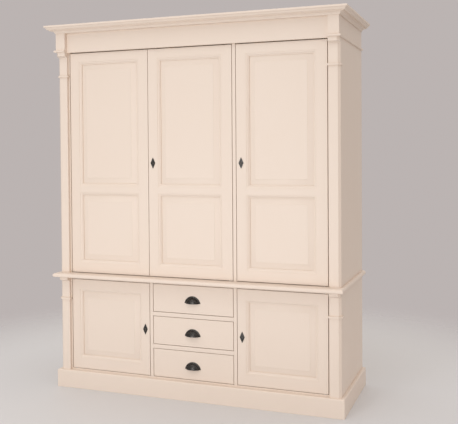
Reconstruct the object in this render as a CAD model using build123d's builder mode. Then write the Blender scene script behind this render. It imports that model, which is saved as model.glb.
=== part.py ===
"""Three-door armoire on a lower case with two doors and three drawers.

X runs to the right, Y to the back and Z up. The origin is at floor level, in the middle of the
overall width and depth. All sizes are in millimetres.
"""

from build123d import *
import os
from math import cos, radians, sin

# ---------------------------------------------------------------- driving dimensions
height = 2200
depth = 704
body_half = 870          # half the width over the side panels
cornice_reach = 52       # cornice tip beyond the corner blocks and the sides

front_y = -depth / 2     # cornice tip
back_y = depth / 2
block_y = front_y + cornice_reach   # face of the corner blocks and capitals
post_y = block_y + 24    # face of the post shafts and of the frieze
door_y = post_y + 18     # face of the doors and drawers
door_back_y = door_y + 22
panel_back_y = back_y - 16  # inside face of the back panels

plinth_top = 106
lower_floor = 114        # top of the lower bottom board
lower_ceiling = 664      # underside of the lower top board
waist_bottom = 680
waist_top = 702
upper_floor = 720
frieze_bottom = 2041
frieze_top = 2156

side_thickness = 24
side_inner = body_half - side_thickness
post_inner = 800         # half the clear width between the posts
shaft_inner = 808        # inner edge of the shafts and blocks, which stand on the posts' faces
board_thickness = 20
partition_inner = 252    # faces of the partitions beside the drawers
partition_outer = partition_inner + board_thickness
back_thickness = 8

# doors
gap = 3
hinge_gap = 4
upper_door_z = (706, 2036)
lower_door_z = (117, 661)
door_thickness = door_back_y - door_y
door_edges = {
    "left": (-post_inner + hinge_gap, -partition_outer - gap),
    "middle": (-partition_outer, partition_inner - gap),
    "right": (partition_outer + gap, post_inner - hinge_gap),
    "lower_left": (-post_inner + hinge_gap, -partition_outer - gap),
    "lower_right": (partition_outer + gap, post_inner - hinge_gap),
}
sticking = 17            # width of the moulding round each panel
groove_top = 12.5        # panel groove, measured back from the door face
groove_bottom = 18.5
tongue = 7
panel_bevel = 32
field_sink = 1.2         # the raised field stays this far behind the door face

# pivots, locks and shoot bolts
pivot_inset = 20         # pivot axis from the hinge edge of the door
pivot_y = door_y + 7
pin_radius = 2.5
pin_clearance = 0.05
bush_radius = 4.5
bush_length = 14
bolt_travel = 14
shoot_travel = 14
shoot_x = -305
shoot_y = door_back_y + 9
shoot_radius = 4

# drawers
rail_thickness = 24
drawer_opening = (lower_ceiling - lower_floor - 2 * rail_thickness) / 3
drawer_pitch = drawer_opening + rail_thickness
drawer_gap = 2.5
drawer_depth = 480       # length of the box behind the front
runner_top = 10          # runner face above the opening's lower edge
drawer_names = ("bottom", "middle", "top")

pull_radius = 50
pull_depth = 25
pull_drop = 28           # centre of a pull's round below the middle of its drawer front
pull_sill = 8            # straight lower edge of a pull, above that centre

os.makedirs("parts", exist_ok=True)


# ---------------------------------------------------------------- helpers
def inset(span, amount):
    """The given range, shortened by the amount at both ends."""
    return span[0] + amount, span[1] - amount


def board(x, y, z, mode=Mode.ADD):
    """Adds a rectangular block that spans the given x, y and z ranges to the current part."""
    with Locations(((x[0] + x[1]) / 2, (y[0] + y[1]) / 2, (z[0] + z[1]) / 2)):
        Box(x[1] - x[0], y[1] - y[0], z[1] - z[0], mode=mode)


def single_board(x, y, z):
    """A plain rectangular board as a part of its own."""
    with BuildPart() as piece:
        board(x, y, z)
    return piece.part


def both_sides(piece):
    """A right-hand piece with its mirror image on the left."""
    return [piece, piece.mirror(Plane.YZ)]


def write_node(name, pieces):
    """Writes one node that holds one piece or several separate ones."""
    solids = [solid for piece in pieces for solid in piece.solids()]
    node = solids[0] if len(solids) == 1 else Compound(children=solids)
    node.label = name
    export_step(node, f"parts/{name}.step")


def round_bar(x, y, z, radius, mode=Mode.ADD):
    """Adds a vertical round bar that spans the z range to the current part."""
    with Locations((x, y, (z[0] + z[1]) / 2)):
        Cylinder(radius, z[1] - z[0], mode=mode)


def mitred_mouldings(outline, corner_x, corner_y):
    """A front length and two side returns, mitred at the front corners.

    The outline is the closed section. Its first coordinate is the distance out from the corner
    lines x = corner_x and y = corner_y, and its second is the height.
    """
    mitre = Plane(origin=(corner_x, corner_y, 0), z_dir=(1, 1, 0))
    front_plane = Plane(origin=(0, corner_y, 0), x_dir=(0, -1, 0), z_dir=(-1, 0, 0))
    side_plane = Plane(origin=(corner_x, back_y, 0), x_dir=(1, 0, 0), z_dir=(0, -1, 0))
    with BuildPart() as front:
        with BuildSketch(front_plane):
            add(outline)
        extrude(amount=corner_x + depth, both=True)
        split(bisect_by=mitre, keep=Keep.BOTTOM)
        split(bisect_by=Plane(origin=(-corner_x, corner_y, 0), z_dir=(-1, 1, 0)), keep=Keep.BOTTOM)
    with BuildPart() as side:
        with BuildSketch(side_plane):
            add(outline)
        extrude(amount=2 * depth)
        split(bisect_by=mitre, keep=Keep.TOP)
    return [front.part] + both_sides(side.part)


# ---------------------------------------------------------------- plinth
plinth_reach = 20
plinth_y = door_y - 32
plinth_round = 8
floor_thickness = 22
back_rail_y = (300, 322)


def plinth_section():
    """Skirting section: square at the foot, rounded over at the top."""
    inner = plinth_y - door_y
    with BuildSketch() as section:
        with BuildLine():
            Polyline((-plinth_round, plinth_top), (inner, plinth_top), (inner, 0), (0, 0),
                     (0, plinth_top - plinth_round))
            RadiusArc((0, plinth_top - plinth_round), (-plinth_round, plinth_top), -plinth_round)
        make_face()
    return section.sketch


def plinth():
    """Skirting frame with rounded top edges, a back rail and two bearers under the floor."""
    skirting = mitred_mouldings(plinth_section(), body_half + plinth_reach, plinth_y)
    packer = single_board(
        (side_inner, body_half + plinth_reach + plinth_y - door_y), (door_y, back_y), (0, plinth_top)
    )
    floor_bottom = lower_floor - floor_thickness
    back_rail = single_board((-side_inner, side_inner), back_rail_y, (0, floor_bottom))
    bearer = single_board(
        (partition_inner, partition_outer), (door_y, back_rail_y[0]), (0, floor_bottom)
    )
    return skirting + both_sides(packer) + [back_rail] + both_sides(bearer)


write_node("plinth", plinth())


# ---------------------------------------------------------------- corner posts
chamfer_size = 13
capital_height = 22
cove_height = 10
collar_reach = 8
collar_height = 10
astragal_reach = 10
astragal_round = 5.5
astragal_z = (frieze_bottom + 1, frieze_bottom + 14)
upper_collar = 1893      # underside of the collar on each upper post
lower_collar = 538


def post(foot, capital_top, collar_z, top, stile_top):
    """Right-hand corner post: chamfered shaft, coved capital, a thin collar and a plain block.

    Beside the doors a narrow strip of the post stays level with their faces, up to stile_top.
    """
    capital_bottom = capital_top - capital_height
    cove_bottom = capital_bottom - cove_height
    with BuildPart() as piece:
        with BuildSketch(Plane.YZ.offset(shaft_inner)):
            with BuildLine():
                Polyline(
                    (post_y, cove_bottom), (post_y, foot), (door_back_y, foot),
                    (door_back_y, capital_top), (block_y, capital_top), (block_y, capital_bottom),
                )
                ThreePointArc(
                    (block_y, capital_bottom),
                    (post_y - 10, capital_bottom - 3.5),
                    (post_y, cove_bottom),
                )
            make_face()
        extrude(amount=body_half - shaft_inner)
        # the chamfer runs down the outer front corner and follows the cove
        reach = chamfer_size + 2
        levels = ((foot, post_y), (cove_bottom, post_y), (capital_bottom, block_y), (capital_top, block_y))
        for level, face_y in levels:
            with BuildSketch(Plane.XY.offset(level)):
                with BuildLine():
                    Polyline(
                        (body_half - reach, face_y - 2), (body_half + 2, face_y - 2),
                        (body_half + 2, face_y + reach), close=True,
                    )
                make_face()
        loft(ruled=True, mode=Mode.SUBTRACT)
        if top > capital_top:
            board((shaft_inner, body_half), (block_y, door_back_y), (capital_top, top))
        board((post_inner, shaft_inner), (door_y, door_back_y), (foot, stile_top))
        # thin collar round the shaft
        with BuildSketch(Plane.XY.offset(collar_z)):
            with BuildLine():
                Polyline(
                    (shaft_inner - collar_reach, door_y),
                    (shaft_inner - collar_reach, post_y - collar_reach),
                    (body_half - chamfer_size + 3, post_y - collar_reach),
                    (body_half + collar_reach, post_y + chamfer_size - 3),
                    (body_half + collar_reach, door_back_y),
                    (shaft_inner + 5, door_back_y),
                    (shaft_inner + 5, door_y),
                    close=True,
                )
            make_face()
        extrude(amount=collar_height)
    return piece.part


def astragal():
    """Half-round collar under the upper right corner block, in front of and beside the post."""
    with BuildPart() as piece:
        board((shaft_inner, body_half + astragal_reach), (block_y - astragal_reach, door_back_y), astragal_z)
        rim = piece.edges().filter_by(GeomType.LINE)
        rim = [edge for edge in rim if abs(edge.center().Z - sum(astragal_z) / 2) > 1
               and (edge.center().Y < block_y - 5 or edge.center().X > body_half + 5)]
        fillet(rim, astragal_round)
        board((shaft_inner, body_half), (block_y, door_back_y), astragal_z, mode=Mode.SUBTRACT)
    return piece.part


upper_post = post(waist_top, astragal_z[0], upper_collar, frieze_top, frieze_bottom)
lower_post = post(plinth_top, waist_bottom, lower_collar, waist_bottom, waist_bottom)
for side, mirrored in (("right", False), ("left", True)):
    pieces = [upper_post, astragal()]
    write_node(f"upper_{side}_post", [p.mirror(Plane.YZ) if mirrored else p for p in pieces])
    write_node(f"lower_{side}_post", [lower_post.mirror(Plane.YZ) if mirrored else lower_post])


# ---------------------------------------------------------------- pockets and holes in the cases
lock_z = {
    "middle": sum(upper_door_z) / 2,
    "right": sum(upper_door_z) / 2,
    "lower_left": sum(lower_door_z) / 2,
    "lower_right": sum(lower_door_z) / 2,
}
bolt_y = (door_back_y + 3, door_back_y + 11)
bolt_height = 20
bolt_slack = 1.5         # room above and below the bolt in its strike
pivot_x = {
    "left": door_edges["left"][0] + pivot_inset,
    "middle": door_edges["middle"][1] - pivot_inset,
    "right": door_edges["right"][1] - pivot_inset,
    "lower_left": door_edges["lower_left"][0] + pivot_inset,
    "lower_right": door_edges["lower_right"][1] - pivot_inset,
}
upper_doors = ("left", "middle", "right")
lower_doors = ("lower_left", "lower_right")
strike_depth = 2
strike_half = 28         # half the height of a strike plate
strike_margin = 7        # strike plate beside the bolt opening
pocket_depth = 10
pocket_y = (bolt_y[0] - 1, bolt_y[1] + 1)


def bolt_pocket(face_x, inwards, z):
    """Cuts the pocket for a lock bolt, and the recess for its strike, in a partition's face."""
    for reach, half_height, margin in (
        (pocket_depth, bolt_height / 2 + bolt_slack, 0),
        (strike_depth, strike_half, strike_margin),
    ):
        x = sorted((face_x, face_x + inwards * reach))
        board(x, inset(pocket_y, -margin), (z - half_height, z + half_height), mode=Mode.SUBTRACT)


def strike(face_x, inwards, z):
    """Strike plate let in flush with a partition's face, with an opening for the bolt."""
    x = sorted((face_x, face_x + inwards * strike_depth))
    half_slot = bolt_height / 2 + bolt_slack
    with BuildPart() as piece:
        board(x, inset(pocket_y, -strike_margin), (z - strike_half, z + strike_half))
        board(x, pocket_y, (z - half_slot, z + half_slot), mode=Mode.SUBTRACT)
    return piece.part


write_node("strike_plates", [
    strike(partition_outer, -1, lock_z["right"]),
    strike(partition_outer, -1, lock_z["lower_right"]),
    strike(-partition_outer, 1, lock_z["lower_left"]),
])

# each pin is set 12 mm deep in the case and stands 12 mm into the door's bush
pin_hold = 12
pin_reach = 12
washer_radius = 6
washer_slack = 0.4       # play between the washer and the door


def pivot_pin(x, case_z, door_z):
    """Pin from the case into the door, with a washer under the door where it stands on the pin."""
    up = 1 if door_z > case_z else -1
    z = sorted((case_z - up * pin_hold, door_z + up * pin_reach))
    with BuildPart() as piece:
        round_bar(x, pivot_y, z, pin_radius)
        if up > 0:
            round_bar(x, pivot_y, (case_z, door_z - washer_slack), washer_radius)
    return piece.part


def pin_holes(doors, z):
    """Drills the pin holes of the given doors over the z range."""
    for door in doors:
        round_bar(pivot_x[door], pivot_y, z, pin_radius, mode=Mode.SUBTRACT)


pins = []
for door in upper_doors:
    pins.append(pivot_pin(pivot_x[door], waist_top, upper_door_z[0]))
    pins.append(pivot_pin(pivot_x[door], frieze_bottom, upper_door_z[1]))
for door in lower_doors:
    pins.append(pivot_pin(pivot_x[door], lower_floor, lower_door_z[0]))
    pins.append(pivot_pin(pivot_x[door], lower_ceiling, lower_door_z[1]))
write_node("pivot_pins", pins)


# ---------------------------------------------------------------- lower case
def notched_board(z):
    """Full-width board of the lower case, notched round the posts at its front corners."""
    with BuildPart() as piece:
        board((-side_inner, side_inner), (door_back_y, panel_back_y), z)
        board((-post_inner, post_inner), (door_y, door_back_y), z)
        if z[0] < lower_floor:
            pin_holes(lower_doors, (z[1] - pin_hold, z[1]))
        else:
            pin_holes(lower_doors, (z[0], z[0] + pin_hold))
    return piece.part


write_node("lower_bottom_board", [notched_board((lower_floor - floor_thickness, lower_floor))])
write_node("lower_top_board", [notched_board((lower_ceiling, waist_bottom))])
write_node("lower_side_panels", both_sides(
    single_board((side_inner, body_half), (door_back_y, back_y), (plinth_top, waist_bottom))))
write_node("lower_back_panel", [single_board(
    (-side_inner, side_inner), (panel_back_y, panel_back_y + back_thickness),
    (lower_floor - floor_thickness, waist_bottom))])


def lower_partition():
    """Right-hand partition beside the drawers, with the pocket for the lower right door's bolt."""
    with BuildPart() as piece:
        board((partition_inner, partition_outer), (door_y, panel_back_y), (lower_floor, lower_ceiling))
        bolt_pocket(partition_outer, -1, lock_z["lower_right"])
    return piece.part


write_node("lower_partitions", both_sides(lower_partition()))

drawer_floors = [lower_floor + level * drawer_pitch for level in range(3)]
rail_back_y = door_y + 60
write_node("drawer_rails", [
    single_board((-partition_inner, partition_inner), (door_y, rail_back_y), (floor - rail_thickness, floor))
    for floor in drawer_floors[1:]
])

runners = []
for level, floor in enumerate(drawer_floors):
    bottom = floor if level == 0 else floor - runner_top
    runner = single_board(
        (partition_inner - 20, partition_inner),
        (rail_back_y, panel_back_y - 10),
        (bottom, floor + runner_top),
    )
    runners += both_sides(runner)
write_node("drawer_runners", runners)

shelf_y = (door_back_y + 36, panel_back_y - 2)
cleat = 18
lower_shelf_z = (380, 380 + board_thickness)
write_node("lower_shelves", both_sides(single_board(
    (partition_outer + 1, side_inner - 1), shelf_y, lower_shelf_z)))


# ---------------------------------------------------------------- waist board
waist_reach = 21
waist_y = door_y - 74
nose_top_radius = 12
nose_bottom_radius = 6
shoot_slack = 0.5        # radial room round a shoot bolt in the case


def waist_board():
    """Board between the cases. Its front and side edges are rounded to a nose."""
    with BuildPart() as piece:
        half_width = body_half + waist_reach
        board((-half_width, half_width), (waist_y, back_y), (waist_bottom, waist_top))
        outer = [edge for edge in piece.edges() if edge.center().Y < back_y - 1]
        fillet([edge for edge in outer if edge.center().Z > waist_top - 1], nose_top_radius)
        lower = [edge for edge in piece.edges().filter_by_position(
            Axis.Z, waist_bottom - 0.1, waist_bottom + 0.1) if edge.center().Y < back_y - 1]
        fillet(lower, nose_bottom_radius)
        pin_holes(upper_doors, (waist_top - pin_hold, waist_top))
        round_bar(shoot_x, shoot_y, (waist_top - pin_hold, waist_top), shoot_radius + shoot_slack,
                  mode=Mode.SUBTRACT)
    return piece.part


write_node("waist_board", [waist_board()])


# ---------------------------------------------------------------- upper case
write_node("upper_side_panels", both_sides(
    single_board((side_inner, body_half), (door_back_y, back_y), (waist_top, frieze_top))))
upper_board_y = (door_back_y + 16, panel_back_y)
bay_spans = ((-side_inner, partition_inner), (partition_outer, side_inner))
write_node("upper_bottom_board", [
    single_board(span, upper_board_y, (waist_top, upper_floor)) for span in bay_spans])
write_node("upper_top_board", [single_board(
    (-side_inner, side_inner), (door_back_y, panel_back_y), (frieze_top - board_thickness, frieze_top))])


def upper_back_panel():
    """Back of the upper case: three boards whose edges are lapped."""
    thirds = [-side_inner + side_inner * 2 * step / 3 for step in range(4)]
    return [
        single_board((left, right), (panel_back_y, panel_back_y + back_thickness), (waist_top, frieze_top))
        for left, right in zip(thirds, thirds[1:])
    ]


write_node("upper_back_panel", upper_back_panel())


def upper_partition():
    """Partition between the middle and the right door, notched under the frieze."""
    with BuildPart() as piece:
        board((partition_inner, partition_outer), (door_y, door_back_y), (waist_top, frieze_bottom))
        board((partition_inner, partition_outer), (door_back_y, panel_back_y),
              (waist_top, frieze_top - board_thickness))
        bolt_pocket(partition_outer, -1, lock_z["right"])
    return piece.part


write_node("upper_partition", [upper_partition()])

batten_y = (door_back_y, door_back_y + 24)
batten_z = (frieze_bottom, frieze_bottom + 34)


def frieze():
    """Frieze board between the corner blocks, and the two battens behind its lower edge."""
    with BuildPart() as face_board:
        board((-shaft_inner, shaft_inner), (post_y, door_back_y), (frieze_bottom, frieze_top))
        pin_holes(upper_doors, (frieze_bottom, frieze_bottom + pin_hold))
    with BuildPart() as left_batten:
        board((-post_inner, partition_inner), batten_y, batten_z)
        round_bar(shoot_x, shoot_y, (frieze_bottom, frieze_bottom + pin_hold), shoot_radius + shoot_slack,
                  mode=Mode.SUBTRACT)
    right_batten = single_board((partition_outer, post_inner), batten_y, batten_z)
    return [face_board.part, left_batten.part, right_batten]


write_node("frieze", frieze())


def cornice_section():
    """Cornice section: square tip, ogee, small step, cove and bottom fillet."""
    inner = block_y - door_back_y
    tip = cornice_reach
    with BuildSketch() as section:
        with BuildLine():
            Polyline((4, frieze_top), (inner, frieze_top), (inner, height), (tip, height), (tip, height - 10))
            ThreePointArc((tip, height - 10), (tip - 6.5, height - 12.5), (tip - 10, height - 17.5))
            ThreePointArc((tip - 10, height - 17.5), (tip - 13.5, height - 22.5), (tip - 20, height - 25))
            Polyline((tip - 20, height - 25), (tip - 23, height - 25), (tip - 23, height - 28.5))
            ThreePointArc((tip - 23, height - 28.5), (13, height - 31.5), (4, height - 40.5))
            Line((4, height - 40.5), (4, frieze_top))
        make_face()
    return section.sketch


write_node("cornice", mitred_mouldings(cornice_section(), body_half, block_y))


def side_bead():
    """Half-round bead that carries the astragal along the right side panel."""
    with BuildPart() as piece:
        board((body_half, body_half + astragal_reach), (door_back_y, back_y), astragal_z)
        fillet([edge for edge in piece.edges().filter_by(Axis.Y)
                if edge.center().X > body_half + 5], astragal_round)
    return piece.part


write_node("side_beads", both_sides(side_bead()))


# ---------------------------------------------------------------- inside of the upper case
shelf_levels = (1050, 1390, 1730)
hat_shelf_z = (1900, 1900 + board_thickness)
right_bay = (partition_outer + 1, side_inner - 1)
left_bay = (-side_inner + 1, partition_inner - 1)
write_node("upper_shelves", [
    single_board(right_bay, shelf_y, (level, level + board_thickness)) for level in shelf_levels
] + [single_board(left_bay, shelf_y, hat_shelf_z)])


def cleats(walls, shelf_bottom):
    """Wooden strips under the ends of a shelf, one on each wall of the bay."""
    pieces = []
    for wall_x, inwards in walls:
        x = sorted((wall_x, wall_x + inwards * cleat))
        pieces.append(single_board(x, (shelf_y[0] + 10, panel_back_y), (shelf_bottom - cleat, shelf_bottom)))
    return pieces


strips = []
for level in shelf_levels:
    strips += cleats(((partition_outer, 1), (side_inner, -1)), level)
strips += cleats(((-side_inner, 1), (partition_inner, -1)), hat_shelf_z[0])
strips += cleats(((partition_outer, 1), (side_inner, -1)), lower_shelf_z[0])
strips += cleats(((-side_inner, 1), (-partition_outer, -1)), lower_shelf_z[0])
write_node("shelf_cleats", strips)

rail_radius = 12.5
rail_wall = 1.5
rail_y = 60
rail_z = 1826
socket_depth = 14
socket_flange = 3
socket_flange_radius = 26
socket_wall = 3.5


def rail_tube(x, radius, mode=Mode.ADD):
    """Adds a round bar along X at the height of the clothes rail."""
    with Locations(((x[0] + x[1]) / 2, rail_y, rail_z)):
        Cylinder(radius, x[1] - x[0], rotation=(0, 90, 0), mode=mode)


with BuildPart() as clothes_rail:
    rail_ends = (-side_inner + socket_flange, partition_inner - socket_flange)
    rail_tube(rail_ends, rail_radius)
    rail_tube(rail_ends, rail_radius - rail_wall, mode=Mode.SUBTRACT)
write_node("clothes_rail", [clothes_rail.part])


def rail_socket(wall_x, inwards):
    """Round flange with a cup that takes the end of the clothes rail."""
    flange_x = sorted((wall_x, wall_x + inwards * socket_flange))
    cup_x = sorted((wall_x + inwards * socket_flange, wall_x + inwards * socket_depth))
    with BuildPart() as piece:
        rail_tube(flange_x, socket_flange_radius)
        rail_tube(cup_x, rail_radius + socket_wall)
        rail_tube(cup_x, rail_radius, mode=Mode.SUBTRACT)
    return piece.part


write_node("rail_sockets", [rail_socket(-side_inner, 1), rail_socket(partition_inner, -1)])

# blocks that each door closes against, at its top edge
stop_y = (door_back_y + 0.6, door_back_y + 14)
stop_half = 30
stop_height = 24
stops = [(x, frieze_bottom) for x in (-410, -150, 410)] + [(x, lower_ceiling) for x in (-410, 410)]
write_node("door_stops", [
    single_board((x - stop_half, x + stop_half), stop_y, (top - stop_height, top)) for x, top in stops
])


# ---------------------------------------------------------------- frame-and-panel doors
upper_stile = 60         # flat width of each member, outside the moulding
lower_stile = 52
upper_openings = ((1231, 1983), (766, 1193))
lower_openings = ((182, 603),)
escutcheon_inset = 28
hinge_is_left = {"left": True, "middle": False, "right": False, "lower_left": True, "lower_right": False}
key_radius = 2.6
key_slot = (2.2, 9)


def door_plane(behind=0):
    """Plane of the door faces, or one the given distance behind it, with X right and Z up."""
    return Plane.XZ.offset(-(door_y + behind))


def free_edge(door):
    """The door's edge away from the hinge, and the direction from it into the door."""
    left, right = door_edges[door]
    return (right, -1) if hinge_is_left[door] else (left, 1)


def key_centre(door):
    """Centre of the door's keyhole in X and Z."""
    edge, inwards = free_edge(door)
    return edge + inwards * escutcheon_inset, lock_z[door]


def keyhole(door):
    """Draws the keyhole: a round hole with a slot below it."""
    x, z = key_centre(door)
    with Locations((x, z)):
        Circle(key_radius)
    with Locations((x, z - key_slot[1] / 2)):
        Rectangle(*key_slot)


def cut_opening(x, z):
    """Cuts one panel opening in the current door: the hole, the groove and the moulded edge."""
    through = (door_y - 1, door_back_y + 1)
    board(inset(x, sticking), through, inset(z, sticking), mode=Mode.SUBTRACT)
    groove = (door_y + groove_top, door_y + groove_bottom)
    board(inset(x, sticking - tongue - 2), groove, inset(z, sticking - tongue - 2), mode=Mode.SUBTRACT)
    middle_z = sum(z) / 2
    with BuildLine() as path:
        Polyline(
            (x[0], door_y, middle_z), (x[0], door_y, z[1]), (x[1], door_y, z[1]),
            (x[1], door_y, z[0]), (x[0], door_y, z[0]), (x[0], door_y, middle_z),
        )
    with BuildSketch(Plane(origin=(x[0], door_y, middle_z), x_dir=(1, 0, 0), z_dir=(0, 0, 1))) as section:
        with BuildLine():
            Polyline((0, -2), (0, 1.8))
            ThreePointArc((0, 1.8), (8.5, 3.4), (13, 7.5))
            Polyline((13, 7.5), (sticking + 2, 7.5), (sticking + 2, -2), (0, -2))
        make_face()
    sweep(sections=section.sketch, path=path.wires()[0], transition=Transition.RIGHT, mode=Mode.SUBTRACT)


def door_blank(door, z, x_inner, openings):
    """The whole door frame before it is divided into stiles and rails."""
    with BuildPart() as blank:
        board(door_edges[door], (door_y, door_back_y), z)
        for opening in openings:
            cut_opening(x_inner, opening)
        for bush_z in ((z[0], z[0] + bush_length), (z[1] - bush_length, z[1])):
            round_bar(pivot_x[door], pivot_y, bush_z, bush_radius, mode=Mode.SUBTRACT)
        if door in lock_z:
            with BuildSketch(door_plane(-1)):
                keyhole(door)
            extrude(amount=-door_thickness - 2, mode=Mode.SUBTRACT)
    return blank.part


def member(blank, corners):
    """The part of the door frame that lies inside the given outline, seen from the front."""
    with BuildPart() as piece:
        add(blank)
        with BuildSketch(door_plane(-1)):
            with BuildLine():
                Polyline(*corners, close=True)
            make_face()
        extrude(amount=-door_thickness - 2, mode=Mode.INTERSECT)
    return piece.part


def stile_corners(edge_x, flat_x, z, openings):
    """Outline of a stile. Beside each opening it carries its length of mitred moulding."""
    step = sticking if flat_x > edge_x else -sticking
    corners = [(edge_x, z[0]), (edge_x, z[1]), (flat_x, z[1])]
    for low, high in openings:
        corners += [(flat_x, high), (flat_x + step, high - sticking),
                    (flat_x + step, low + sticking), (flat_x, low)]
    return corners + [(flat_x, z[0])]


def rail_corners(x, z, moulded_below, moulded_above):
    """Outline of a rail, with mitred moulding on the edges that face an opening."""
    corners = [(x[0], z[0])]
    if moulded_below:
        corners += [(x[0] + sticking, z[0] - sticking), (x[1] - sticking, z[0] - sticking)]
    corners += [(x[1], z[0]), (x[1], z[1])]
    if moulded_above:
        corners += [(x[1] - sticking, z[1] + sticking), (x[0] + sticking, z[1] + sticking)]
    return corners + [(x[0], z[1])]


def door_frame(door, z, stile, openings):
    """Two stiles and the rails between them, with openings listed from the top down."""
    left, right = door_edges[door]
    x_inner = (left + stile, right - stile)
    blank = door_blank(door, z, x_inner, openings)
    pieces = [
        member(blank, stile_corners(left, x_inner[0], z, openings)),
        member(blank, stile_corners(right, x_inner[1], z, openings)),
    ]
    tops = [z[1]] + [low for low, high in openings]
    bottoms = [high for low, high in openings] + [z[0]]
    for index, (top, bottom) in enumerate(zip(tops, bottoms)):
        below = index < len(openings)
        pieces.append(member(blank, rail_corners(x_inner, (bottom, top), below, index > 0)))
    return pieces


def raised_panel(x, z):
    """Solid panel with a tongue all round, a sloping border and a raised flat field."""
    border = sticking + 0.5
    rise = field_sink + 1.2
    with BuildPart() as piece:
        slab = (door_y + groove_top, door_y + groove_bottom)
        board(inset(x, sticking - tongue), slab, inset(z, sticking - tongue))
        for behind, margin in ((groove_top, border), (rise, border + panel_bevel)):
            with BuildSketch(door_plane(behind)):
                with Locations((sum(x) / 2, sum(z) / 2)):
                    Rectangle(x[1] - x[0] - 2 * margin, z[1] - z[0] - 2 * margin)
        loft(ruled=True)
        field = border + panel_bevel + 0.6
        board(inset(x, field), (door_y + field_sink, door_y + rise), inset(z, field))
    return piece.part


def bush(door, z):
    """Bush that turns on a pivot pin, let into the end of the door's hinge stile."""
    with BuildPart() as piece:
        round_bar(pivot_x[door], pivot_y, z, bush_radius)
        round_bar(pivot_x[door], pivot_y, z, pin_radius + pin_clearance, mode=Mode.SUBTRACT)
    return piece.part


def escutcheon(door):
    """Lozenge-shaped keyhole plate, and the two round pin heads that hold it."""
    x, z = key_centre(door)
    quarter = ((0, 32), (6.4, 19), (11, 8.5), (12, 5.5), (14.5, 0))
    upper = [(-across, up) for across, up in quarter[::-1]] + list(quarter[1:])
    outline = upper + [(across, -up) for across, up in upper[-2:0:-1]]
    with BuildPart() as plate:
        with BuildSketch(door_plane()):
            with BuildLine():
                Polyline(*[(x + across, z + up) for across, up in outline], close=True)
            make_face()
        extrude(amount=2.5)
        with BuildSketch(door_plane(-3)):
            keyhole(door)
        extrude(amount=-4, mode=Mode.SUBTRACT)
    heads = []
    for up in (-20, 20):
        with BuildPart() as head:
            with BuildSketch(door_plane(-2.5)):
                with Locations((x, z + up)):
                    Circle(2)
            extrude(amount=1.2)
            fillet(head.faces().sort_by(Axis.Y)[0].edges(), 0.9)
        heads.append(head.part)
    return [plate.part] + heads


case_reach = (4, 60)     # lock case, measured in from the door's free edge
case_depth = 14
case_half = 32           # half the height of a lock case
bolt_reach = (5, 43)
channel_slack = 0.2
guide_half = 11
guide_depth = 15
guide_height = 12
guide_slack = 0.08


def along_edge(door, reach):
    """X range for a piece that lies between two distances in from the door's free edge."""
    edge, inwards = free_edge(door)
    return sorted((edge + inwards * reach[0], edge + inwards * reach[1]))


def lock_case(door):
    """Rim lock case on the back of the door, with the channel that its bolt slides in."""
    z = lock_z[door]
    with BuildPart() as piece:
        board(along_edge(door, case_reach), (door_back_y, door_back_y + case_depth),
              (z - case_half, z + case_half))
        half = bolt_height / 2 + channel_slack
        board(along_edge(door, (case_reach[0], bolt_reach[1] + 1)), inset(bolt_y, -channel_slack),
              (z - half, z + half), mode=Mode.SUBTRACT)
    return piece.part


def shoot_guides():
    """The four brackets on the back of the left door that guide its two shoot bolts."""
    pieces = []
    for z in (726, 850, 1880, 2004):
        with BuildPart() as piece:
            board((shoot_x - guide_half, shoot_x + guide_half), (door_back_y, door_back_y + guide_depth),
                  (z, z + guide_height))
            round_bar(shoot_x, shoot_y, (z, z + guide_height), shoot_radius + guide_slack,
                      mode=Mode.SUBTRACT)
        pieces.append(piece.part)
    return pieces


def door_nodes(door, z, stile, openings):
    """Writes a door's frame, its panels and the ironwork that is fixed to it."""
    x_inner = inset(door_edges[door], stile)
    write_node(f"{door}_door_frame", door_frame(door, z, stile, openings))
    write_node(f"{door}_door_panels", [raised_panel(x_inner, opening) for opening in openings])
    ironwork = [bush(door, (z[0], z[0] + bush_length)), bush(door, (z[1] - bush_length, z[1]))]
    if door in lock_z:
        ironwork += escutcheon(door) + [lock_case(door)]
        bolt = single_board(along_edge(door, bolt_reach), bolt_y,
                            (lock_z[door] - bolt_height / 2, lock_z[door] + bolt_height / 2))
        write_node(f"{door}_lock_bolt", [bolt])
    else:
        ironwork += shoot_guides()
    write_node(f"{door}_door_ironwork", ironwork)


for door in upper_doors:
    door_nodes(door, upper_door_z, upper_stile, upper_openings)
for door in lower_doors:
    door_nodes(door, lower_door_z, lower_stile, lower_openings)


def shoot_bolt(z, knob_z):
    """Round sliding bolt with a small thumb knob, on the back of the left door."""
    with BuildPart() as piece:
        round_bar(shoot_x, shoot_y, z, shoot_radius)
        with BuildSketch(Plane.XZ.offset(-shoot_y)):
            with Locations((shoot_x, knob_z)):
                Circle(4)
        extrude(amount=-14)
    return piece.part


write_node("upper_shoot_bolt", [shoot_bolt((1860, 2034), 1940)])
write_node("lower_shoot_bolt", [shoot_bolt((708, 882), 800)])


# ---------------------------------------------------------------- drawers
side_x = (235, 247)
side_bottom = runner_top + 0.3
side_height = 140
bottom_panel = (side_bottom + 10, side_bottom + 16)
groove_depth = 5
box_back_y = door_back_y + drawer_depth


panel_half_width = side_x[0] + groove_depth
front_edge_radius = 2


def drawer_front(floor):
    """Plain drawer front with softened edges, grooved at the back for the bottom panel."""
    with BuildPart() as piece:
        board(inset((-partition_inner, partition_inner), drawer_gap), (door_y, door_back_y),
              inset((floor, floor + drawer_opening), drawer_gap))
        fillet(piece.faces().sort_by(Axis.Y)[0].edges(), front_edge_radius)
        board((-panel_half_width, panel_half_width), (door_back_y - groove_depth, door_back_y),
              (floor + bottom_panel[0], floor + bottom_panel[1]), mode=Mode.SUBTRACT)
    return piece.part


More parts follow.
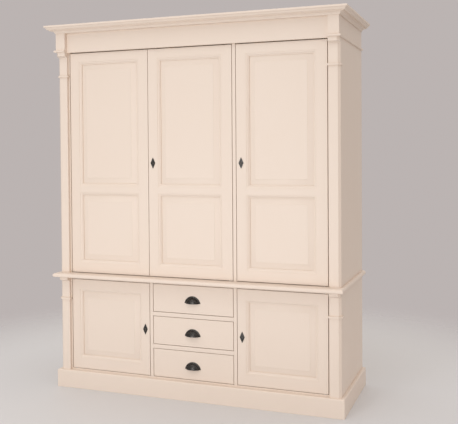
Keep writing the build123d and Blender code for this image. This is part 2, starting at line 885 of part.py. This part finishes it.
def drawer_box(floor):
    """Two grooved sides, a back and a bottom panel that slides in under the back."""
    panel_z = (floor + bottom_panel[0], floor + bottom_panel[1])
    box_z = (floor + side_bottom, floor + side_bottom + side_height)
    with BuildPart() as right_side:
        board(side_x, (door_back_y, box_back_y), box_z)
        board((side_x[0], side_x[0] + groove_depth), (door_back_y, box_back_y), panel_z, mode=Mode.SUBTRACT)
    back = single_board((-side_x[0], side_x[0]), (box_back_y - 12, box_back_y), (panel_z[1], box_z[1]))
    bottom = single_board(
        (-panel_half_width, panel_half_width), (door_back_y - groove_depth, box_back_y), panel_z)
    return both_sides(right_side.part) + [back, bottom]


pull_wall = 2.5
dome_radius = 42
flange_thickness = 2
screw_radius = 2.8


def cup_pull(z):
    """Cup pull, a little less than half round and open downwards, on a flat flange with two screws."""
    with BuildPart() as shell:
        with BuildSketch(Plane(origin=(0, door_y, z), x_dir=(1, 0, 0), z_dir=(0, 0, 1))):
            for radius, reach, mode in (
                (dome_radius, pull_depth, Mode.ADD),
                (dome_radius - pull_wall, pull_depth - pull_wall, Mode.SUBTRACT),
            ):
                with BuildLine():
                    EllipticalCenterArc((0, 0), radius, reach, start_angle=270, arc_size=90)
                    Polyline((radius, 0), (0, 0), (0, -reach))
                make_face(mode=mode)
            with BuildLine():
                flange_inner = dome_radius - pull_wall
                Polyline((flange_inner, 0), (flange_inner, -flange_thickness),
                         (pull_radius, -flange_thickness), (pull_radius, 0), close=True)
            make_face()
        revolve(axis=Axis((0, door_y, z), (0, -1, 0)), revolution_arc=180)
        board((-pull_radius, pull_radius), (door_y - pull_depth, door_y), (z - 1, z + pull_sill),
              mode=Mode.SUBTRACT)
    pieces = [shell.part]
    screw_circle = (dome_radius + pull_radius) / 2
    for angle in (20, 160):
        with BuildPart() as screw:
            with BuildSketch(door_plane(-flange_thickness)):
                with Locations((screw_circle * cos(radians(angle)), z + screw_circle * sin(radians(angle)))):
                    Circle(screw_radius)
            extrude(amount=1.6)
            fillet(screw.faces().sort_by(Axis.Y)[0].edges(), 1.2)
        pieces.append(screw.part)
    return pieces


for level, floor in zip(drawer_names, drawer_floors):
    write_node(f"{level}_drawer_front", [drawer_front(floor)])
    write_node(f"{level}_drawer_box", drawer_box(floor))
    write_node(f"{level}_drawer_pull", cup_pull(floor + drawer_opening / 2 - pull_drop))
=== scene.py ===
"""Looks of the cream painted armoire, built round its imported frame.

Metres, in the frame's own axes: X to the right, Y to the back, Z up.
"""

from math import asin, cos, pi, radians, sin

import bmesh
import bpy
from mathutils import Matrix, Vector


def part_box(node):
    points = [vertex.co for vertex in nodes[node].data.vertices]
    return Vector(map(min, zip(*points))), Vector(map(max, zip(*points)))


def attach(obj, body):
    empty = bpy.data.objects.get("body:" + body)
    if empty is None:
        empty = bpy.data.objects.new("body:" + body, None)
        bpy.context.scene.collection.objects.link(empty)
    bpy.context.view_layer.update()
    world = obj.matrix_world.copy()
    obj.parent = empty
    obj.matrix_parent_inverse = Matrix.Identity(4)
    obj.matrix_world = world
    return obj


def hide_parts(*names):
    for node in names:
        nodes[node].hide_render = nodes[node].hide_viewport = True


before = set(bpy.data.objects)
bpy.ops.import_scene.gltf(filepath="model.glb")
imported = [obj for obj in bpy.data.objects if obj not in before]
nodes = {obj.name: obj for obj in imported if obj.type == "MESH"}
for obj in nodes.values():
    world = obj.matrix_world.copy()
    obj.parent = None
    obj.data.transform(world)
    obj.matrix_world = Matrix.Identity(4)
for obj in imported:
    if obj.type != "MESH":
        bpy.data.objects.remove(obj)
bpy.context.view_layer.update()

MM = 0.001

upper_doors = ("left", "middle", "right")
lower_doors = ("lower_left", "lower_right")
all_doors = upper_doors + lower_doors
drawer_levels = ("bottom", "middle", "top")
hinged_left = ("left", "lower_left")


# ---------------------------------------------------------------- shader helpers
def new_material(name):
    """An empty node material, with its Principled shader connected."""
    material = bpy.data.materials.new(name)
    material.use_nodes = True
    tree = material.node_tree
    tree.nodes.clear()
    output = tree.nodes.new("ShaderNodeOutputMaterial")
    shader = tree.nodes.new("ShaderNodeBsdfPrincipled")
    tree.links.new(shader.outputs[0], output.inputs["Surface"])
    return material, tree, shader


def plug(tree, socket, value):
    """Links an output to a socket, or sets the socket's own value."""
    if isinstance(value, bpy.types.NodeSocket):
        tree.links.new(value, socket)
    else:
        socket.default_value = value


def math_node(tree, operation, a, b):
    node = tree.nodes.new("ShaderNodeMath")
    node.operation = operation
    plug(tree, node.inputs[0], a)
    plug(tree, node.inputs[1], b)
    return node.outputs[0]


def span(tree, value, low, high, to_low=0.0, to_high=1.0):
    """Maps value from low..high to to_low..to_high, with smooth ends."""
    node = tree.nodes.new("ShaderNodeMapRange")
    node.interpolation_type = "SMOOTHSTEP"
    plug(tree, node.inputs["Value"], value)
    limits = {"From Min": low, "From Max": high, "To Min": to_low, "To Max": to_high}
    for name, number in limits.items():
        plug(tree, node.inputs[name], number)
    return node.outputs[0]


def mix_colour(tree, factor, a, b):
    node = tree.nodes.new("ShaderNodeMix")
    node.data_type = "RGBA"
    plug(tree, node.inputs["Factor"], factor)
    plug(tree, node.inputs["A"], a)
    plug(tree, node.inputs["B"], b)
    return node.outputs["Result"]


def mix_vector(tree, factor, a, b):
    node = tree.nodes.new("ShaderNodeMix")
    node.data_type = "VECTOR"
    plug(tree, node.inputs["Factor"], factor)
    plug(tree, node.inputs["A"], a)
    plug(tree, node.inputs["B"], b)
    return node.outputs["Result"]


def scaled(tree, vector, scale):
    node = tree.nodes.new("ShaderNodeVectorMath")
    node.operation = "MULTIPLY"
    plug(tree, node.inputs[0], vector)
    node.inputs[1].default_value = scale
    return node.outputs[0]


def noise(tree, vector, scale, detail=3.0, roughness=0.5, distortion=0.0):
    node = tree.nodes.new("ShaderNodeTexNoise")
    plug(tree, node.inputs["Vector"], vector)
    node.inputs["Scale"].default_value = scale
    node.inputs["Detail"].default_value = detail
    node.inputs["Roughness"].default_value = roughness
    node.inputs["Distortion"].default_value = distortion
    return node.outputs["Fac"]


def bump(tree, height, distance, strength=1.0, normal=None):
    node = tree.nodes.new("ShaderNodeBump")
    node.inputs["Strength"].default_value = strength
    node.inputs["Distance"].default_value = distance
    plug(tree, node.inputs["Height"], height)
    if normal is not None:
        plug(tree, node.inputs["Normal"], normal)
    return node.outputs[0]


def position(tree):
    return tree.nodes.new("ShaderNodeTexCoord").outputs["Object"]


def island_random(tree):
    """A number from 0 to 1 that differs from board to board."""
    return tree.nodes.new("ShaderNodeNewGeometry").outputs["Random Per Island"]


# ---------------------------------------------------------------- materials
grain_scales = {"x": (0.04, 1, 1), "y": (1, 0.04, 1), "z": (1, 1, 0.04)}
cream = (0.798, 0.688, 0.600, 1)
cream_deep = (0.765, 0.640, 0.535, 1)
# warm dark cream painted into recesses and corners as shade
cream_painted_shade = (0.730, 0.590, 0.420, 1)


def stretched(tree, grain, stile_x=None):
    """Object position, squeezed along the grain. A door frame's stiles have theirs upright.

    stile_x gives the x values between which the door's rails and panels lie.
    """
    place = position(tree)
    along = scaled(tree, place, grain_scales[grain])
    if stile_x is None:
        return along
    upright = scaled(tree, place, grain_scales["z"])
    separate = tree.nodes.new("ShaderNodeSeparateXYZ")
    tree.links.new(place, separate.inputs[0])
    low, high = stile_x
    inside = math_node(tree, "MULTIPLY",
                       math_node(tree, "GREATER_THAN", separate.outputs["X"], low),
                       math_node(tree, "LESS_THAN", separate.outputs["X"], high))
    return mix_vector(tree, inside, upright, along)


def paint(name, grain, stile_x=None):
    """Satin cream paint on pine: faint grain and brush marks, with painted shade that makes recesses
    and corners warmer and darker.
    """
    material, tree, shader = new_material(name)
    place = position(tree)
    lengthwise = stretched(tree, grain, stile_x)
    clouds = noise(tree, place, 2.2, detail=2)
    fibres = noise(tree, lengthwise, 210, detail=5, roughness=0.62)
    brush = noise(tree, lengthwise, 620, detail=2)
    peel = noise(tree, place, 900, detail=1)

    tone = math_node(tree, "ADD", math_node(tree, "MULTIPLY", clouds, 0.55),
                     math_node(tree, "MULTIPLY", fibres, 0.45))
    tone = math_node(tree, "ADD", tone, math_node(tree, "MULTIPLY", island_random(tree), 0.12))
    colour = mix_colour(tree, span(tree, tone, 0.34, 0.84, 0.0, 0.30), cream, cream_deep)
    # painted shade: the ambient occlusion node mixes the colour towards a warm darker cream within 12
    # mm of other surfaces
    occlusion = tree.nodes.new("ShaderNodeAmbientOcclusion")
    occlusion.samples = 6
    occlusion.inputs["Distance"].default_value = 12 * MM
    painted_shade_amount = span(tree, occlusion.outputs["AO"], 0.20, 0.75, 0.35, 0.0)
    colour = mix_colour(tree, painted_shade_amount, colour, cream_painted_shade)
    plug(tree, shader.inputs["Base Color"], colour)
    plug(tree, shader.inputs["Roughness"], span(tree, fibres, 0.25, 0.75, 0.40, 0.52))
    shader.inputs["Specular IOR Level"].default_value = 0.42
    relief = bump(tree, fibres, 0.00022, 0.55)
    relief = bump(tree, brush, 0.00006, 0.5, relief)
    plug(tree, shader.inputs["Normal"], bump(tree, peel, 0.00003, 0.4, relief))
    return material


pine_light = (0.790, 0.600, 0.380, 1)
pine_dark = (0.590, 0.370, 0.180, 1)
pine_knot = (0.210, 0.085, 0.030, 1)
iron_dull, iron_pale = (0.030, 0.028, 0.027, 1), (0.085, 0.080, 0.076, 1)
steel_clean, steel_stained = (0.60, 0.59, 0.57, 1), (0.44, 0.42, 0.39, 1)


def pine(name, grain):
    """Planed, unpainted pine: flowing rings, fine fibres and a few knots."""
    material, tree, shader = new_material(name)
    place = position(tree)
    lengthwise = stretched(tree, grain)
    board_shift = math_node(tree, "MULTIPLY", island_random(tree), 7.0)
    shifted = tree.nodes.new("ShaderNodeVectorMath")
    shifted.operation = "ADD"
    plug(tree, shifted.inputs[0], lengthwise)
    plug(tree, shifted.inputs[1], board_shift)
    flow = noise(tree, shifted.outputs[0], 11, detail=1, distortion=0.25)
    rings = math_node(tree, "PINGPONG", math_node(tree, "MULTIPLY", flow, 8.0), 0.5)
    late = span(tree, rings, 0.26, 0.5)
    fibres = noise(tree, shifted.outputs[0], 420, detail=4, roughness=0.65)

    cells = tree.nodes.new("ShaderNodeTexVoronoi")
    plug(tree, cells.inputs["Vector"], place)
    cells.inputs["Scale"].default_value = 3.1
    knot = span(tree, cells.outputs["Distance"], 0.035, 0.06, 1.0, 0.0)

    colour = mix_colour(tree, math_node(tree, "MULTIPLY", late, 0.50), pine_light, pine_dark)
    colour = mix_colour(tree, span(tree, fibres, 0.45, 0.8, 0.0, 0.30), colour, pine_dark)
    board_tint = math_node(tree, "MULTIPLY", island_random(tree), 0.22)
    colour = mix_colour(tree, board_tint, colour, pine_dark)
    colour = mix_colour(tree, math_node(tree, "MULTIPLY", knot, 0.8), colour, pine_knot)
    plug(tree, shader.inputs["Base Color"], colour)
    plug(tree, shader.inputs["Roughness"], span(tree, fibres, 0.3, 0.8, 0.55, 0.75))
    shader.inputs["Specular IOR Level"].default_value = 0.35
    relief = bump(tree, fibres, 0.00020, 0.6)
    plug(tree, shader.inputs["Normal"], bump(tree, late, 0.00012, 0.4, relief))
    return material


def dark_iron(name):
    """Dark pewter-coloured casting: mottled and slightly gritty."""
    material, tree, shader = new_material(name)
    place = position(tree)
    mottle = noise(tree, place, 160, detail=4, roughness=0.6)
    grit = noise(tree, place, 1400, detail=2)
    colour = mix_colour(tree, span(tree, mottle, 0.35, 0.7), iron_dull, iron_pale)
    plug(tree, shader.inputs["Base Color"], colour)
    shader.inputs["Metallic"].default_value = 0.85
    plug(tree, shader.inputs["Roughness"], span(tree, mottle, 0.3, 0.75, 0.27, 0.40))
    relief = bump(tree, mottle, 0.00025, 0.6)
    plug(tree, shader.inputs["Normal"], bump(tree, grit, 0.00006, 0.6, relief))
    return material


def steel(name):
    """Satin steel with fine drawn lines and slight staining."""
    material, tree, shader = new_material(name)
    place = position(tree)
    drawn = noise(tree, scaled(tree, place, (0.05, 1, 1)), 900, detail=3)
    stain = noise(tree, place, 45, detail=3)
    colour = mix_colour(tree, span(tree, stain, 0.35, 0.75), steel_clean, steel_stained)
    plug(tree, shader.inputs["Base Color"], colour)
    shader.inputs["Metallic"].default_value = 1.0
    plug(tree, shader.inputs["Roughness"], span(tree, drawn, 0.3, 0.7, 0.26, 0.40))
    plug(tree, shader.inputs["Normal"], bump(tree, drawn, 0.00004, 0.5))
    return material


iron = dark_iron("dark_iron_look")
bright = steel("steel_look")
paint_x, paint_y, paint_z = (paint(f"cream_paint_{axis}", axis) for axis in "xyz")
pine_x, pine_y, pine_z = (pine(f"bare_pine_{axis}", axis) for axis in "xyz")

looks = {
    "clothes_rail": bright, "rail_sockets": bright, "pivot_pins": bright, "strike_plates": bright,
    "upper_shoot_bolt": bright, "lower_shoot_bolt": bright,
    "cornice": paint_x, "frieze": paint_x, "plinth": paint_x, "waist_board": paint_x,
    "upper_shelves": paint_x, "lower_shelves": paint_x, "upper_top_board": paint_x,
    "upper_bottom_board": paint_x, "lower_top_board": paint_x, "lower_bottom_board": paint_x,
    "drawer_rails": paint_x, "side_beads": paint_y,
    "upper_side_panels": paint_z, "lower_side_panels": paint_z, "upper_partition": paint_z,
    "lower_partitions": paint_z, "upper_left_post": paint_z, "upper_right_post": paint_z,
    "lower_left_post": paint_z, "lower_right_post": paint_z,
    "upper_back_panel": pine_z, "lower_back_panel": pine_x, "door_stops": pine_x,
    "shelf_cleats": pine_y, "drawer_runners": pine_y,
}
for door in all_doors:
    low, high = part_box(f"{door}_door_panels")
    looks[f"{door}_door_frame"] = paint(f"cream_paint_{door}_frame", "x", (low.x, high.x))
    looks[f"{door}_door_panels"] = paint_z
    looks[f"{door}_door_ironwork"] = iron
    if f"{door}_lock_bolt" in nodes:
        looks[f"{door}_lock_bolt"] = bright
for level in drawer_levels:
    looks[f"{level}_drawer_front"] = paint_x
    looks[f"{level}_drawer_box"] = pine_y
    looks[f"{level}_drawer_pull"] = iron

for name, look in looks.items():
    for material_slot in nodes[name].material_slots:
        material_slot.material = look


# ---------------------------------------------------------------- softened edges
def soften(name, width):
    """Rounds the node's hard edges by modifiers, and evens out its shading.

    With a width of 0 only the shading changes.
    """
    node = nodes[name]
    weld = node.modifiers.new("weld", "WELD")
    weld.merge_threshold = 0.00001
    flat = node.modifiers.new("flat", "DECIMATE")
    flat.decimate_type = "DISSOLVE"
    flat.angle_limit = radians(0.3)
    if width > 0:
        bevel = node.modifiers.new("edges", "BEVEL")
        bevel.limit_method = "ANGLE"
        bevel.angle_limit = radians(28)
        bevel.width = width
        bevel.segments = 2
        bevel.use_clamp_overlap = True
    split = node.modifiers.new("split", "EDGE_SPLIT")
    split.use_edge_sharp = False
    split.split_angle = radians(50)
    node.modifiers.new("shading", "WEIGHTED_NORMAL")


# bevel widths, in millimetres
edge_widths = {
    "upper_side_panels": 1.5, "lower_side_panels": 1.5, "upper_shelves": 2, "lower_shelves": 2,
    "upper_top_board": 1.5, "upper_bottom_board": 1.5, "drawer_rails": 1, "upper_partition": 1,
    "lower_partitions": 1, "upper_back_panel": 0.6, "lower_back_panel": 0.6, "door_stops": 1.5,
    "shelf_cleats": 1.5, "drawer_runners": 1, "strike_plates": 0.4, "lower_bottom_board": 1,
    "lower_top_board": 1, "plinth": 1, "cornice": 0, "frieze": 1,
}
for door in all_doors:
    edge_widths[f"{door}_door_frame"] = 0.5
    edge_widths[f"{door}_door_panels"] = 0.8
    edge_widths[f"{door}_door_ironwork"] = 0.4
    if f"{door}_lock_bolt" in nodes:
        edge_widths[f"{door}_lock_bolt"] = 0.8
for level in drawer_levels:
    edge_widths[f"{level}_drawer_box"] = 0.5
for side in ("left", "right"):
    edge_widths[f"upper_{side}_post"] = 1.2
    edge_widths[f"lower_{side}_post"] = 1.2
for name, width in edge_widths.items():
    soften(name, width * MM)


# ---------------------------------------------------------------- small ironwork, in millimetres
def millimetres(name):
    """A node's lowest and highest corners, in millimetres."""
    return [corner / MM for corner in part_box(name)]


def add_piece(name, shape, look, body):
    """Makes a piece from mesh work done in millimetres, and fixes it to a body."""
    bmesh.ops.remove_doubles(shape, verts=shape.verts, dist=0.001)
    bmesh.ops.scale(shape, vec=(MM, MM, MM), verts=shape.verts)
    bmesh.ops.recalc_face_normals(shape, faces=shape.faces)
    for face in shape.faces:
        face.smooth = True
    mesh = bpy.data.meshes.new(name)
    shape.to_mesh(mesh)
    shape.free()
    mesh.materials.append(look)
    piece = bpy.data.objects.new(name, mesh)
    bpy.context.scene.collection.objects.link(piece)
    creases = piece.modifiers.new("creases", "EDGE_SPLIT")
    creases.split_angle = radians(42)
    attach(piece, body)
    return piece


def bridge(shape, rings, closed):
    """Joins each ring of vertices to the next one with faces."""
    for near, far in zip(rings, rings[1:]):
        count = len(near)
        for i in range(count if closed else count - 1):
            j = (i + 1) % count
            corners = dict.fromkeys((near[i], near[j], far[j], far[i]))
            if len(corners) > 2:
                shape.faces.new(corners)


def cut_circle(radius, chord, count):
    """Points of the circle above the line y = chord, from right to left."""
    start = asin(min(chord / radius, 1))
    return [(radius * cos(start + (pi - 2 * start) * i / count),
             radius * sin(start + (pi - 2 * start) * i / count)) for i in range(count + 1)]


def slotted_head(shape, place, radius, height, turn):
    """Adds a domed screw head: two halves that leave the slot between them, over a low disc.

    place maps the head's own axes, with Z out of the surface, to the piece.
    """
    slot_half = radius * 0.13
    head_points, disc_points = 12, 24
    # shares of the radius and of the height, from the rim up
    profile = ((1.0, 0.0), (1.0, 0.35), (0.95, 0.62), (0.80, 0.86), (0.55, 1.0))
    for side in (0, pi):
        spin = place @ Matrix.Rotation(turn + side, 4, "Z")
        rings = [
            [shape.verts.new(spin @ Vector((x, y, height * level)))
             for x, y in cut_circle(radius * share, slot_half, head_points)]
            for share, level in profile
        ]
        bridge(shape, rings, closed=True)
        shape.faces.new(rings[0])
        shape.faces.new(rings[-1])
    disc_levels = ((0.99, 0.0), (0.99, 0.34))
    rings = [
        [shape.verts.new(place @ Vector((radius * share * cos(2 * pi * i / disc_points),
                                         radius * share * sin(2 * pi * i / disc_points),
                                         height * level)))
         for i in range(disc_points)]
        for share, level in disc_levels
    ]
    bridge(shape, rings, closed=True)
    for ring in rings:
        shape.faces.new(ring)


def facing(point, direction):
    """Matrix that puts a screw at the point, with its head facing along the direction."""
    turned = Vector(direction).to_track_quat("Z", "Y").to_matrix().to_4x4()
    return Matrix.Translation(point) @ turned


def screws(name, spots, radius, height, look, body):
    """One piece of several slotted screws. Each spot is a point and the direction it faces."""
    first_turn, next_turn = 0.5, 1.9      # radians; no two slots in a row line up
    shape = bmesh.new()
    for index, (point, direction) in enumerate(spots):
        turn = first_turn + next_turn * index
        slotted_head(shape, facing(point, direction), radius, height, turn)
    add_piece(name, shape, look, body)


def cup_pull(level):
    """Cast cup pull: beaded flange, hollow dome with a rolled lower lip, and two screws."""
    low, high = millimetres(f"{level}_drawer_pull")
    rise = high.z - low.z
    radius = (high.x ** 2 + rise ** 2) / (2 * rise)
    sill = radius - rise
    centre = Vector((0, high.y, high.z - radius))
    flange, dome_reach, wall = 8, 25, 2.3
    dome_radius = radius - flange
    # steps in from the rim, and depths: the bead, the flat of the flange, the foot of the dome
    bead = ((0, 0), (0, 1.3), (0.3, 1.9), (0.9, 2.2), (1.5, 1.9), (1.8, 1.6),
            (5.4, 1.6), (6.6, 2.1), (7.5, 3.4))
    dome_steps, round_points = 16, 56

    def dome(inset, start):
        """Quarter ellipse from near the flange to the height of the lower edge."""
        across = dome_radius - inset
        end = pi / 2 - asin(sill / across)
        turns = (start + (end - start) * i / dome_steps for i in range(dome_steps + 1))
        return [(across * cos(turn), (dome_reach - inset) * sin(turn)) for turn in turns]

    outer = [(radius - step, depth) for step, depth in bead] + dome(0, radians(10))
    back_step = (flange + wall) / (len(bead) - 1)
    inner = [(radius - 0.5 - back_step * i, 0) for i in range(len(bead))] + dome(wall, radians(4))
    inner[len(bead) - 1] = (dome_radius - wall, 0)

    shape = bmesh.new()

    def ring(across, depth):
        return [shape.verts.new(centre + Vector((x, -depth, z)))
                for x, z in cut_circle(across, sill, round_points)]

    outer_rings = [ring(*station) for station in outer]
    inner_rings = [ring(*station) for station in inner]
    bridge(shape, outer_rings, closed=False)
    bridge(shape, inner_rings, closed=False)
    bridge(shape, [outer_rings[0], inner_rings[0]], closed=False)
    for end in (0, -1):
        edge = [[rings[i][end] for i in range(len(outer))] for rings in (outer_rings, inner_rings)]
        bridge(shape, edge, closed=False)

    lip_radius, lip_steps, lip_points = 1.7, 40, 12
    lip_across = dome_radius - wall / 2
    lip_reach = dome_reach - wall / 2 - 0.4
    lip = []
    for i in range(lip_steps + 1):
        turn = pi * (0.03 + 0.94 * i / lip_steps)
        lip.append(centre + Vector((lip_across * cos(turn), -lip_reach * sin(turn), sill + lip_radius)))
    rings = []
    for i, point in enumerate(lip):
        ahead = lip[min(i + 1, len(lip) - 1)] - lip[max(i - 1, 0)]
        out = Vector((ahead.y, -ahead.x, 0)).normalized()
        ring_turns = [2 * pi * k / lip_points for k in range(lip_points)]
        rings.append([
            shape.verts.new(point + lip_radius * (out * cos(turn) + Vector((0, 0, sin(turn)))))
            for turn in ring_turns
        ])
    bridge(shape, rings, closed=True)
    shape.faces.new(rings[0])
    shape.faces.new(rings[-1])

    screw_across, screw_slope, flange_face = radius - 4, radians(20), 1.5
    screw_x, screw_z = screw_across * cos(screw_slope), screw_across * sin(screw_slope)
    for side, turn in ((1, 0.7), (-1, 2.1)):
        spot = centre + Vector((side * screw_x, -flange_face, screw_z))
        slotted_head(shape, facing(spot, (0, -1, 0)), 2.7, 1.6, turn)
    piece = add_piece(f"{level}_pull", shape, iron, f"{level}_drawer")
    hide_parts(f"{level}_drawer_pull")


for level in drawer_levels:
    cup_pull(level)


def lock_screws(door):
    """Four screws that hold a lock case to the back of its door."""
    low, high = millimetres(f"{door}_door_frame")
    edge, inwards = (high.x, -1) if door in hinged_left else (low.x, 1)
    bolt_low, bolt_high = millimetres(f"{door}_lock_bolt")
    middle_z = (bolt_low.z + bolt_high.z) / 2
    case_depth = 14
    case_back = high.y + case_depth
    spots = [((edge + inwards * reach, case_back, middle_z + up), (0, 1, 0))
             for reach in (13, 52) for up in (-25, 25)]
    screws(f"{door}_lock_screws", spots, 3.2, 1.7, iron, f"{door}_door")


def guide_screws():
    """Two screws in each of the four guides of the shoot bolts."""
    upper_low, upper_high = millimetres("upper_shoot_bolt")
    lower_tip = millimetres("lower_shoot_bolt")[0].z
    middle_x = (upper_low.x + upper_high.x) / 2
    guide_depth, near, far = 15, 24, 148      # near and far: distances of the guides from a bolt's tip
    guide_back = millimetres("left_door_frame")[1].y + guide_depth
    heights = (lower_tip + near, lower_tip + far, upper_high.z - far, upper_high.z - near)
    spots = [((middle_x + side, guide_back, z), (0, 1, 0)) for z in heights for side in (-8, 8)]
    screws("guide_screws", spots, 2.2, 1.2, iron, "left_door")


def strike_screws():
    """Two countersunk screws in each strike plate."""
    low, high = millimetres("strike_plates")
    spots = []
    middle_y = (low.y + high.y) / 2
    for door, face in (("right", high.x), ("lower_right", high.x), ("lower_left", low.x)):
        bolt_low, bolt_high = millimetres(f"{door}_lock_bolt")
        middle_z = (bolt_low.z + bolt_high.z) / 2
        for up in (-21, 21):
            spots.append(((face, middle_y, middle_z + up), (face, 0, 0)))
    screws("strike_screws", spots, 2.8, 0.6, bright, "root")


def socket_screws():
    """Three screws in the flange of each rail socket."""
    low, high = millimetres("rail_sockets")
    middle = (low + high) / 2
    flange, circle = 3, 21      # the flange's thickness, and the radius of the ring of screws
    spots = []
    for face, inwards in ((low.x + flange, 1), (high.x - flange, -1)):
        for turn in (radians(90), radians(210), radians(330)):
            point = (face, middle.y + circle * cos(turn), middle.z + circle * sin(turn))
            spots.append((point, (inwards, 0, 0)))
    screws("socket_screws", spots, 2.6, 1.3, bright, "root")


def panel_pins(name, inset, pitch=150):
    """Flat-headed pins round the edge of a back panel."""
    low, high = millimetres(name)
    low, high = low + Vector((inset, 0, inset)), high - Vector((inset, 0, inset))
    width, height = high.x - low.x, high.z - low.z
    across, up = round(width / pitch), round(height / pitch)
    spots = [(low.x + width * i / across, z) for i in range(across + 1) for z in (low.z, high.z)]
    spots += [(x, low.z + height * i / up) for i in range(1, up) for x in (low.x, high.x)]
    head = ((2.6, 0), (2.6, 0.5), (2.0, 0.9))      # radii and heights of the pin's head
    points = 12
    shape = bmesh.new()
    for x, z in spots:
        rings = [
            [shape.verts.new((x + radius * cos(2 * pi * i / points), high.y + out,
                              z + radius * sin(2 * pi * i / points)))
             for i in range(points)]
            for radius, out in head
        ]
        bridge(shape, rings, closed=True)
        shape.faces.new(rings[0])
        shape.faces.new(rings[-1])
    add_piece(f"{name}_pins", shape, bright, "root")


for door in all_doors:
    if f"{door}_lock_bolt" in nodes:
        lock_screws(door)
guide_screws()
strike_screws()
socket_screws()
panel_pins("upper_back_panel", 12)
panel_pins("lower_back_panel", 12)


# ---------------------------------------------------------------- floor, light and camera
def studio_floor():
    """Round pale floor whose rim fades into the background."""
    radius, fade_start = 2.9, 1.5
    mesh = bpy.data.meshes.new("floor")
    shape = bmesh.new()
    bmesh.ops.create_circle(shape, cap_ends=True, segments=96, radius=radius)
    shape.to_mesh(mesh)
    shape.free()
    floor = bpy.data.objects.new("floor", mesh)
    bpy.context.scene.collection.objects.link(floor)
    material, tree, shader = new_material("floor")
    shader.inputs["Base Color"].default_value = (0.68, 0.68, 0.69, 1)
    shader.inputs["Roughness"].default_value = 0.5
    clear = tree.nodes.new("ShaderNodeBsdfTransparent")
    fade = tree.nodes.new("ShaderNodeMixShader")
    length = tree.nodes.new("ShaderNodeVectorMath")
    length.operation = "LENGTH"
    tree.links.new(position(tree), length.inputs[0])
    plug(tree, fade.inputs[0], span(tree, length.outputs["Value"], fade_start, radius))
    tree.links.new(shader.outputs[0], fade.inputs[1])
    tree.links.new(clear.outputs[0], fade.inputs[2])
    tree.links.new(fade.outputs[0], tree.nodes["Material Output"].inputs["Surface"])
    mesh.materials.append(material)


def area_light(name, place, target, size, power, colour=(1, 1, 1)):
    """Round lamp aimed from its place at the target, with its size in metres and power in watts."""
    data = bpy.data.lights.new(name, "AREA")
    data.shape = "DISK"
    data.size = size
    data.energy = power
    data.color = colour
    light = bpy.data.objects.new(name, data)
    light.location = place
    light.rotation_euler = (Vector(target) - Vector(place)).to_track_quat("-Z", "Y").to_euler()
    bpy.context.scene.collection.objects.link(light)


def studio_light():
    """Dome that is brighter overhead, plain to the camera, and four lamps."""
    scene = bpy.context.scene
    scene.view_settings.view_transform = "Standard"
    world = bpy.data.worlds.new("studio")
    scene.world = world
    world.use_nodes = True
    tree = world.node_tree
    background = tree.nodes["Background"]
    seen = tree.nodes.new("ShaderNodeLightPath").outputs["Is Camera Ray"]
    separate = tree.nodes.new("ShaderNodeSeparateXYZ")
    tree.links.new(tree.nodes.new("ShaderNodeTexCoord").outputs["Generated"], separate.inputs[0])
    overhead = span(tree, separate.outputs["Z"], 0.0, 0.9)
    dome = mix_colour(tree, overhead, (0.510, 0.485, 0.465, 1), (1.000, 0.945, 0.905, 1))
    plug(tree, background.inputs["Color"], mix_colour(tree, seen, dome, (0.500, 0.455, 0.445, 1)))
    area_light("low_front", (-0.5, -4.6, 0.25), (0, -0.3, 2.2), 3.0, 66)
    area_light("high_front", (-1.0, -5.5, 2.2), (-0.1, -0.3, 1.3), 1.0, 26)
    area_light("top", (-0.3, -3.4, 5.5), (0, -0.6, 0.8), 3.0, 26)
    area_light("warm_side", (7.0, -2.5, 0.6), (0.9, 0, 1.8), 4.0, 24, (1, 0.62, 0.45))


def camera():
    """Camera in front on the right at chest height, almost level, with a vertical shift."""
    place = (1.697, -4.227, 1.4475)
    yaw, pitch, roll = 0.3539, 0.0223, -0.0071
    forward = Vector((-sin(yaw) * cos(pitch), cos(yaw) * cos(pitch), -sin(pitch)))
    right = Vector((cos(yaw), sin(yaw), 0))
    up = right.cross(forward)
    data = bpy.data.cameras.new("camera")
    data.sensor_width, data.lens = 36, 58.9834      # millimetres
    data.shift_y = -0.10
    data.clip_start, data.clip_end = 0.1, 100
    view = bpy.data.objects.new("camera", data)
    turn = Matrix((right, up, -forward)).transposed() @ Matrix.Rotation(roll, 3, "Z")
    view.matrix_world = Matrix.Translation(place) @ turn.to_4x4()
    bpy.context.scene.collection.objects.link(view)
    bpy.context.scene.camera = view


studio_floor()
studio_light()
camera()
